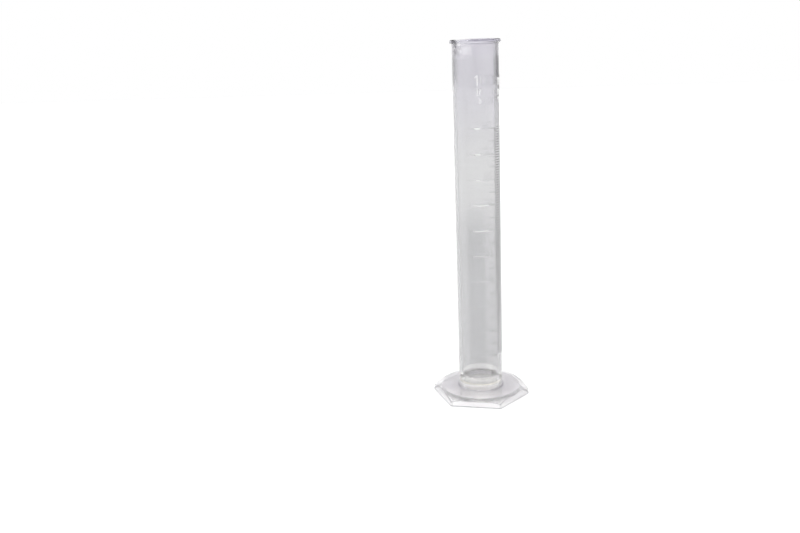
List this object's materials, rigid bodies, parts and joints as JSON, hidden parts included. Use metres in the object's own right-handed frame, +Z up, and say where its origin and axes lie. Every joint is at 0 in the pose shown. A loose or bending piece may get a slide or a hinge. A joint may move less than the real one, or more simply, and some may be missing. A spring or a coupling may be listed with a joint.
{
  "type": "graduated cylinder",
  "caption": "Tall clear plastic measuring cylinder with raised graduations, a beaded rim with a pouring spout, and a hexagonal foot.",
  "frame": {"origin": "on the bench plane, on the tube's axis, at the middle of the foot's underside", "axes": "+Z up along the tube's axis; +X through a corner of the hexagonal foot; the spout points over the corner at 240 degrees from +X towards +Y"},
  "size_m": [0.0694, 0.0606, 0.25],
  "materials": {
    "tube_plastic": "clear, glossy, faintly lilac grey",
    "foot_plastic": "clear, glossy, faintly lilac grey",
    "bond_cement": "clear cement, slightly yellowed",
    "raised_scale": "clear, glossy, raised from the tube wall"
  },
  "bodies": {
    "root": {"measuring_tube": "tube_plastic", "hex_foot": "foot_plastic", "bond_seam": "bond_cement", "long_marks": "raised_scale", "half_marks": "raised_scale", "short_marks": "raised_scale", "scale_numerals": "raised_scale", "volume_label": "raised_scale", "moulding_mark": "foot_plastic"}
  },
  "joints": []
}
